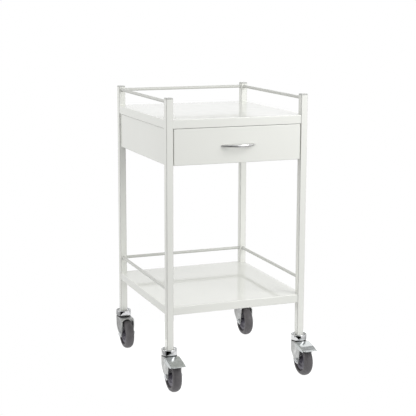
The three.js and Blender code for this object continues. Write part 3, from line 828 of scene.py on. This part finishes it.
def add_drawer_tray():
    """A folded tray with a hemmed rim, rounded along its floor and up its corners."""
    low, high = limits("drawer_tray")
    half_x, half_y = (high.x - low.x) / 2, (high.y - low.y) / 2
    corner = 2.5
    hem = 9.0
    soft = 0.35
    layers = []
    rounded_face(layers, half_x, half_y, low.z, 1, 2.0)

    def ring(inset, height):
        layers.append((rounded_box(half_x - inset, half_y - inset, max(corner - inset, 0.3)), height))

    ring(0, high.z - SHEET)
    ring(soft, high.z - soft)
    ring(SHEET, high.z)
    ring(2 * SHEET - soft, high.z - soft)
    ring(2 * SHEET, high.z - SHEET)
    ring(2 * SHEET, high.z - hem)
    ring(SHEET, high.z - hem - 0.3)
    ring(SHEET, low.z + 2.2)
    ring(SHEET + 0.3, low.z + SHEET + 0.3)
    ring(SHEET + 1.0, low.z + SHEET)
    bm = solid(stack, layers, "z", (0, (low.y + high.y) / 2))
    bm = with_screw_holes(bm, low.y - 1, low.y + 2 * SHEET + 1)
    show(bm, "drawer_tray_folded", "drawer_tray")


def add_handle():
    """A bow pull: a round-edged bar swept on an arc, thick at its ends, cut flat on the drawer."""
    low, high = limits("drawer_handle")
    face = limits("drawer_front")[0].y
    level = (low.z + high.z) / 2
    tall = (high.z - low.z) / 2
    rise = face - low.y - HANDLE_THIN
    half = HANDLE_SPAN / 2
    radius = (half * half + rise * rise) / (2 * rise)
    spread = math.asin(half / radius)
    centre_y = face + radius - rise
    past_ends = 1.22  # the bar is swept this much too long, and then cut flat
    steps = 96
    rings = []
    for k in range(steps + 1):
        share = (k / steps * 2 - 1) * past_ends
        angle = share * spread
        out = Vector((math.sin(angle), -math.cos(angle)))
        thick = HANDLE_THIN + (HANDLE_THICK - HANDLE_THIN) * share * share
        height = tall * (1 - HANDLE_TAPER * min(1.3, share * share))
        ring = []
        for spoke in circle(1, 36):
            across, up = (math.copysign(abs(value) ** HANDLE_SQUARENESS, value) for value in spoke)
            spot = out * (radius + across * thick)
            ring.append((spot.x, centre_y + spot.y, level + up * height))
        rings.append(ring)
    behind = solid(prism, moved(rounded_box(90, 40, 1), (0, level)), "y", face, face + 60)
    bm = bevelled(combined(solid(loft, rings), behind, "DIFFERENCE"), 0.3, 2, 50)
    show(bm, "drawer_handle_bow", "drawer_handle", finish="satin_chrome", weighted=False)


def add_handle_screws():
    """Pan-head screws with a cross recess, their heads inside the tray."""
    for side in SIDES:
        low, high = limits(f"handle_screw_{side}")
        centre = ((low.x + high.x) / 2, (low.z + high.z) / 2)
        head = high.y - 2.6
        profile = [(0, low.y, 0), (SCREW_RADIUS, low.y, 0.5), (SCREW_RADIUS, head, 0), (4, head, 0.3),
                   (4, high.y - 1.1, 0.8), (2.6, high.y, 1.5), (0, high.y, 0)]
        bm = solid(spin, soften(profile, 0.2), 32, "y", centre)
        recess = bmesh.new()
        for wide, tall in ((2.2, 0.45), (0.45, 2.2)):
            stack(recess, [(rounded_box(wide * 0.6, tall, 0.1, 1), high.y - 1.4),
                           (rounded_box(wide, tall, 0.1, 1), high.y + 1)], "y", centre)
        recess = modified(recess, "REMESH", mode="VOXEL", voxel_size=0.12)
        bm = combined(bm, recess, "DIFFERENCE")
        show(bm, f"{side}_handle_pan_screw", f"handle_screw_{side}", weighted=False)


# ------------------------------------------------------------------ runners

def channel(bm, web, mouth, half, level, start, end):
    """A runner member: a channel on its side, with rounded folds along its web."""
    corners = [(mouth, -half), (web, -half), (web, half), (mouth, half)]
    if web < mouth:
        corners.reverse()
    section = folded(corners, 2.6, SHEET)
    prism(bm, moved(section, (0, level)), "y", start, end)


def slots(web, level, places, long, wide):
    """Stadium-shaped cutters through a runner's web."""
    tools = bmesh.new()
    for y in places:
        outline = moved(rounded_box(long / 2, wide / 2, wide / 2 - 0.01), (y, level))
        prism(tools, outline, "x", web - 3, web + 3)
    return tools


def add_runner(kind, web_outside, slot_places):
    low, high = limits(f"runner_{kind}_right")
    level = (low.z + high.z) / 2
    half = (high.z - low.z) / 2
    web, mouth = (high.x, low.x) if web_outside else (low.x, high.x)
    if kind == "outer":
        web = BETWEEN_X - 0.3
    for side, sign in SIDES.items():
        bm = bmesh.new()
        channel(bm, web, mouth, half, level, low.y, high.y)
        places = [low.y + share * (high.y - low.y) for share in slot_places]
        bm = combined(bm, slots(web, level, places, long=16, wide=5.2), "DIFFERENCE")
        if kind == "outer":
            add_runner_feet(bm, web, high.x, level)
        if sign < 0:
            mirrored(bm)
        show(bm, f"{side}_{kind}_runner_channel", f"runner_{kind}_{side}")


def add_runner_feet(bm, web, panel, level):
    """The two hat brackets that hold the fixed member off the side panel."""
    foot = 25
    for start in (MIDDLE_Y - 205, MIDDLE_Y + 165):
        corners = [(web - 0.4, start), (panel, start), (panel, start + foot), (web - 0.4, start + foot)]
        prism(bm, folded(corners, 2.2, 1.5), "z", level - 10, level + 10)


# ------------------------------------------------------------------ castors

TRAIL = 34.5
LEG_OUTER = 22.2
LEG_SHEET = 2.2
FORK_SHEET = 2.4
BOSS = 12
AXLE_HOLE = 4.4
PIN_HOLE = 6.6
PIVOT_HOLE = 3.4
PEDAL_PIVOT = (-27, 99)
PEDAL_SHEET = 1.6
PEDAL_HALF = 24.1
PEDAL_TRAVEL = 6  # degrees
TREAD_LINE = [(-26.5, 107.6), (-60, 101.2), (-84, 93.8), (-93.3, 95.4)]
CHEEK_FOOT = [(-26.5, 94.6), (-34, 91), (-52, 88), (-77, 87.6), (-84, 92.4), (-93.3, 95.0)]
SHOE_REAR = -50
SHOE_FRONT = -66
APRON_Y = -48.5

# The castors are alike, so the front left one gives the sizes. Each is drawn about its own swivel
# axis, in (x, y, z) with z from the floor.
head_low, head_high = limits("front_left_castor_head")
tyre_low, tyre_high = limits("front_left_tyre")
HEAD_RADIUS = (head_high.x - head_low.x) / 2
WHEEL_RADIUS = (tyre_high.z - tyre_low.z) / 2
AXLE = (-TRAIL, WHEEL_RADIUS)
FORK_TOP = limits("front_left_fork")[1].z
HEAD_FOOT = FORK_TOP + 3.5
HEAD_RIM = 126.5
STEM_RADIUS = 5.5
RACE_RADIUS = 22.2
CUTTER = 40  # half the length of the cutters that run across a castor


def castor_head():
    """The chromed cup: a rolled rim round a dished floor, a raised seat, the stem and the king pin."""
    seat = post_low.z - 0.3
    floor = seat - 3.2
    under = FORK_TOP - 2.8
    inner = HEAD_RADIUS - 1.8
    pin = 6.2
    rivet = 9.5
    profile = [
        (0, head_low.z, 0), (7, head_low.z, 0.8), (rivet, head_low.z + 1.4, 0.8), (rivet, under, 0.3),
        (pin, under, 0), (pin, HEAD_FOOT, 0), (HEAD_RADIUS, HEAD_FOOT, 1.6),
        (HEAD_RADIUS, HEAD_RIM, 0.9), (inner, HEAD_RIM, 0.9), (inner, floor, 1.8),
        (17.4, floor, 1.2), (16.2, seat, 0.8), (STEM_RADIUS, seat, 0.3),
        (STEM_RADIUS, head_high.z, 1.2), (0, head_high.z, 0),
    ]
    return solid(spin, soften(profile, 0, 5), 96)


def swivel_race():
    """The dark ring between head and fork: a seal with a shallow groove round it."""
    low = FORK_TOP + 0.3
    high = HEAD_FOOT - 0.3
    middle = (low + high) / 2
    bore = 6.8
    groove = 0.6
    profile = [(bore, low, 0), (RACE_RADIUS, low, 0.4), (RACE_RADIUS, middle - 0.4, 0.1),
               (RACE_RADIUS - groove, middle, 0.2), (RACE_RADIUS, middle + 0.4, 0.1),
               (RACE_RADIUS, high, 0.4), (bore, high, 0)]
    return solid(spin, soften(profile, 0.2, 3), 96)


def leg_outline(braked):
    """One fork leg from the side, in (y, z)."""
    boss = arc(AXLE, BOSS, -37, -168, 14)
    outline = [(12, FORK_TOP), (10.5, 76)]
    outline += curve((10.5, 76), (6, 61), boss[0], 8)
    outline += boss[1:]
    outline.append((-51, 80))
    if braked:
        corner = [(-51, 80), (-51, 88, 2), (-46, 94.5, 2), (-26, FORK_TOP - 1, 3), (-24, FORK_TOP)]
        outline += soften(corner, 2, 4, closed=False)[1:]
    else:
        outline.append((-51, 91))
        outline += curve((-51, 91), (-50, FORK_TOP - 3.5), (-40, FORK_TOP), 8)
    return outline


def hooded(bm):
    """The fork with a hood down behind the tyre, and an arch cut in the hood for it."""
    corners = [(4, FORK_TOP - 0.01), (APRON_Y, FORK_TOP - 0.01), (APRON_Y, 93)]
    hood = folded(corners, 7, LEG_SHEET + 0.1, 8)
    bm = combined(bm, solid(prism, hood, "x", 1.2 - LEG_OUTER, LEG_OUTER - 1.2), "UNION")
    half = LEG_OUTER - LEG_SHEET - 0.6
    springing = 95.5
    crown = 103.6
    arch = [(half, 80), (half, springing)]
    arch += curve((half, springing), (0.8 * half, crown), (0, crown), 8)
    arch += [(-x, z) for x, z in arch[-2::-1]]
    return combined(bm, solid(prism, arch, "y", APRON_Y - 6, APRON_Y + 5), "DIFFERENCE")


def fork(braked):
    """A fork pressed from one sheet: a bent channel trimmed to the leg's outline, a round ball
    race pressed into its top and, without a brake, a hood arched over the tyre."""
    channel_corners = [(LEG_OUTER, 30), (LEG_OUTER, FORK_TOP), (-LEG_OUTER, FORK_TOP), (-LEG_OUTER, 30)]
    bm = solid(prism, folded(channel_corners, 5.0, LEG_SHEET, 6), "y", -70, 30)
    bm = combined(bm, solid(prism, leg_outline(braked), "x", -CUTTER, CUTTER), "INTERSECT")
    profile = [(0, FORK_TOP - FORK_SHEET, 0), (HEAD_RADIUS, FORK_TOP - FORK_SHEET, 0.8),
               (HEAD_RADIUS, FORK_TOP + 0.02, 1.2), (0, FORK_TOP + 0.02, 0)]
    bm = combined(bm, solid(spin, soften(profile, 0, 4), 96), "UNION")
    if not braked:
        bm = hooded(bm)
    holes = bmesh.new()
    prism(holes, circle(PIN_HOLE, 48), "z", FORK_TOP - 8, FORK_TOP + 3)
    prism(holes, moved(circle(AXLE_HOLE, 32), AXLE), "x", -CUTTER, CUTTER)
    if braked:
        prism(holes, moved(circle(PIVOT_HOLE, 24), PEDAL_PIVOT), "x", -CUTTER, CUTTER)
    bm = combined(bm, holes, "DIFFERENCE")
    return bevelled(bm, 0.45, 2, 42)


def axle_bolt():
    """A hexagon bolt and lock nut with washers, the thread's end standing out of the nut."""
    face = LEG_OUTER + 0.3
    seat = face + 0.9
    corner = 7.5
    bm = bmesh.new()

    def hexagon(thick, sign):
        layers = []
        profile = ((0.93, 0), (1, 0.35), (1, thick - 0.9), (0.9, thick - 0.25), (0.84, thick))
        for share, height in profile:
            layers.append((circle(corner * share, 6, math.pi / 6), sign * (seat + height)))
        stack(bm, layers if sign > 0 else layers[::-1], "x", AXLE)

    hexagon(thick=4.4, sign=1)
    hexagon(thick=4.6, sign=-1)
    washer = soften([(3.9, face), (8.4, face), (8.4, face + 1), (3.9, face + 1)], 0.25, 2)
    for sign in (1, -1):
        spin(bm, [(r, sign * x) for r, x in washer], 40, "x", AXLE)
    shank = soften([(0, face + 1, 0), (4, face + 1, 0), (4, -face - 7, 0.6), (0, -face - 7, 0)], 0)
    spin(bm, shank, 32, "x", AXLE)
    return bm


def on_both_sides(half):
    """A closed (radius, x) profile from its right-hand half, given as (x, radius, rounding)."""
    return [(r, x, soft) for x, r, soft in half] + [(r, -x, soft) for x, r, soft in half[::-1]]


def wheel_core():
    """A moulded centre: a hub, a deeply dished web with a raised ring, and the rim."""
    half = [(19.4, 4.5, 0.3), (19.4, 8.5, 0.6), (7, 9.4, 1.2), (5.2, 12, 1.2), (5.2, 19, 1.2),
            (9.6, 22.6, 0.8), (10.4, 23.6, 0.4), (10.4, 25.2, 0.4), (9.4, 26.2, 0.4), (9.8, 30.8, 0.6),
            (8.6, 31.6, 0.3)]
    return solid(spin, soften(on_both_sides(half), 0.3, 4), 96, "x", AXLE)


def tyre():
    """A crowned rubber tyre: soft shoulders, a step on each side and a parting line round its tread."""
    half = [(8, 31.9, 0.3), (8, 34.6, 0.4), (14, 35.4, 0.5), (14.6, 36.4, 0.4), (14.7, 39.8, 3),
            (12.6, 45.2, 4), (7.4, 48.9, 6), (2.8, 49.8, 3), (0.35, 49.86, 0), (0.25, WHEEL_RADIUS, 0)]
    return solid(spin, soften(on_both_sides(half), 0.3, 5), 128, "x", AXLE)


def height_at(line, y):
    for (y0, z0), (y1, z1) in zip(line, line[1:]):
        if y1 <= y <= y0:
            return z0 + (z1 - z0) * (y - y0) / (y1 - y0)
    return line[-1][1]


def brake_pedal():
    """A pressed lever: a tread with rolled sides that fall into cheeks, and a curled toe."""
    fold = 3.2
    line = soften(TREAD_LINE, 12, 8, closed=False)
    heel = line[0][0]
    toe = line[-1][0]
    curl = 11.3  # how far before the toe the sides start to draw in
    draw_in = 3.5
    rows_along = 54
    bm = bmesh.new()
    rows = []
    for row in range(rows_along + 1):
        y = heel + (toe - heel) * row / rows_along
        top = height_at(line, y)
        foot = min(height_at(CHEEK_FOOT, y), top - 0.6)
        drop = min(fold, top - foot)
        half = PEDAL_HALF - draw_in * max(0.0, (toe + curl - y) / curl) ** 2
        side = [(half, foot)]
        for k in range(6):
            angle = math.pi / 2 * k / 5
            side.append((half - fold * (1 - math.cos(angle)), top - drop * (1 - math.sin(angle))))
        section = side + [(8, top), (0, top), (-8, top)] + [(-x, z) for x, z in side[::-1]]
        rows.append([bm.verts.new((x, y, z)) for x, z in section])
    for near, far in zip(rows, rows[1:]):
        for i in range(len(near) - 1):
            bm.faces.new((near[i], near[i + 1], far[i + 1], far[i]))
    outside_up(bm)
    bm = modified(bm, "SOLIDIFY", thickness=PEDAL_SHEET, offset=-1, use_rim=True)
    rivet = [(0, 18.6, 0), (3, 18.6, 0), (3, 22, 0), (5, 24.4, 0.8), (3.4, 25.1, 1.2), (0, 25.1, 0)]
    for sign in (1, -1):
        spin(bm, [(r, sign * x) for r, x in soften(rivet, 0)], 28, "x", PEDAL_PIVOT)
    return bm


def brake_shoe():
    """The black pad under the tread, hollowed to clear the tyre by 0.6 when the pedal is down."""
    pivot = Vector(PEDAL_PIVOT)
    centre = pivot + Matrix.Rotation(math.radians(-PEDAL_TRAVEL), 2) @ (Vector(AXLE) - pivot)
    radius = WHEEL_RADIUS + 0.6
    rear = math.degrees(math.acos((SHOE_REAR - centre.x) / radius))
    front = math.degrees(math.acos((SHOE_FRONT - centre.x) / radius))
    outline = arc(centre, radius, rear, front, 8) + [(SHOE_FRONT, 99.2), (SHOE_REAR, 102.2)]
    return bevelled(solid(prism, outline, "x", -13, 13), 0.5, 2, 50)


def add_castors():
    forks = {braked: fork(braked) for braked in (True, False)}
    for name, _, end in CORNERS:
        braked = end < 0
        shift = (*post_centre(name), 0)
        show(castor_head(), f"{name}_head_cup", f"{name}_castor_head", shift, weighted=False)
        show(swivel_race(), f"{name}_race_seal", f"{name}_swivel_race", shift, weighted=False)
        show(forks[braked].copy(), f"{name}_fork_pressing", f"{name}_fork", shift)
        bolt = axle_bolt()
        if name.endswith("left"):
            mirrored(bolt)
        show(bolt, f"{name}_axle_bolt_and_nut", f"{name}_axle_bolt", shift)
        show(wheel_core(), f"{name}_wheel_moulding", f"{name}_wheel_core", shift, weighted=False)
        show(tyre(), f"{name}_tyre_ring", f"{name}_tyre", shift, weighted=False)
        if braked:
            pedal = f"{name}_brake_pedal"
            show(brake_pedal(), f"{name}_pedal_pressing", pedal, shift, finish="pedal_plate")
            show(brake_shoe(), f"{name}_pedal_shoe", pedal, shift, slot="black_plastic")


# ------------------------------------------------------------------ stage

FLOOR_RADIUS = 0.48  # metres

# Directions from the trolley. What chrome mirrors in them gives it its dark and bright parts.
DARK_CORNER = (-0.372, -0.73, -0.574)
DARK_STRIP = (-0.707, -0.707, 0.0)
BRIGHT_WALL = (0.34, -0.94, 0.0)


def add_floor():
    """A plain white studio floor that glows, so that it stays white under the trolley."""
    bm = bmesh.new()
    bmesh.ops.create_circle(bm, cap_ends=True, segments=128, radius=FLOOR_RADIUS)
    mesh = bpy.data.meshes.new("floor")
    bm.to_mesh(mesh)
    bm.free()
    material, _, shader = new_material("floor", Roughness=0.9, IOR=1.2, Emission_Strength=0.95)
    shader.inputs["Base Color"].default_value = (0.2, 0.2, 0.2, 1)
    shader.inputs["Emission Color"].default_value = (1, 1, 1, 1)
    mesh.materials.append(material)
    floor = bpy.data.objects.new("floor", mesh)
    bpy.context.scene.collection.objects.link(floor)


def add_world():
    """A white studio, brightest on its front wall, with two unlit parts low in front on the left.
    The camera sees it white all over."""
    world = bpy.data.worlds.new("studio")
    bpy.context.scene.world = world
    world.use_nodes = True
    tree = world.node_tree
    direction = add(tree, "TexCoord").outputs["Generated"]
    height = add(tree, "SeparateXYZ", Vector=direction).outputs["Z"]
    strip = between(tree, agreement(tree, direction, DARK_STRIP), 1.0, 0.05, 0.7, 0.96)
    strip = calculate(tree, "MAXIMUM", strip, between(tree, height, 0.0, 1.0, -0.02, 0.08))
    corner = between(tree, agreement(tree, direction, DARK_CORNER), 1.0, 0.02, 0.76, 0.82)
    below = between(tree, height, 0.5, 1.0, -0.3, -0.02)
    above = between(tree, height, 1.0, 0.6, 0.25, 0.6)
    light = between(tree, agreement(tree, direction, BRIGHT_WALL), 1.0, 1.42, 0.1, 0.8)
    for share in (strip, corner, below, above):
        light = calculate(tree, "MULTIPLY", light, share)
    seen = add(tree, "LightPath").outputs["Is Camera Ray"]
    background = tree.nodes["Background"]
    background.inputs["Color"].default_value = (1, 1, 1, 1)
    feed(tree, background.inputs["Strength"], calculate(tree, "MAXIMUM", light, seen))


def add_softbox(name, spot, target, size, power):
    data = bpy.data.lights.new(name, "AREA")
    data.shape = "RECTANGLE"
    data.size, data.size_y = size
    data.energy = power
    light = bpy.data.objects.new(name, data)
    aim = (Vector(target) - Vector(spot)).to_track_quat("-Z", "Y")
    light.matrix_world = Matrix.Translation(spot) @ aim.to_matrix().to_4x4()
    bpy.context.scene.collection.objects.link(light)


def add_stage():
    add_floor()
    add_world()
    add_softbox("right softbox", (0.8, -1.05, 1.55), (0.1, 0, 0.5), (0.8, 0.8), 9)
    add_softbox("front softbox", (1.5, -1.45, 1.12), (0.1, 0, 0.5), (0.8, 0.6), 5)
    add_softbox("left softbox", (-1.7, 0.25, 0.85), (-0.2, 0, 0.4), (1.2, 1.5), 10)
    add_softbox("back softbox", (0.8, 1.6, 1.45), (0, 0, 0.2), (1.4, 0.7), 3)
    view = bpy.context.scene.view_settings
    view.view_transform = "Standard"
    view.look = "None"


add_camera()
for corner_name, _, _ in CORNERS:
    add_post(corner_name)
    add_cap(corner_name)
    add_stem_socket(corner_name)
for shelf_level, shelf_lip in (("top", 0), ("bottom", 14)):
    add_shelf(shelf_level, shelf_lip)
    add_rails(shelf_level)
add_panels()
add_drawer_front()
add_drawer_tray()
add_handle()
add_handle_screws()
add_runner("outer", True, (0.08, 0.3, 0.5, 0.7, 0.92))
add_runner("middle", True, (0.12, 0.4, 0.6, 0.88))
add_runner("inner", False, (0.15, 0.5, 0.85))
add_castors()
add_stage()
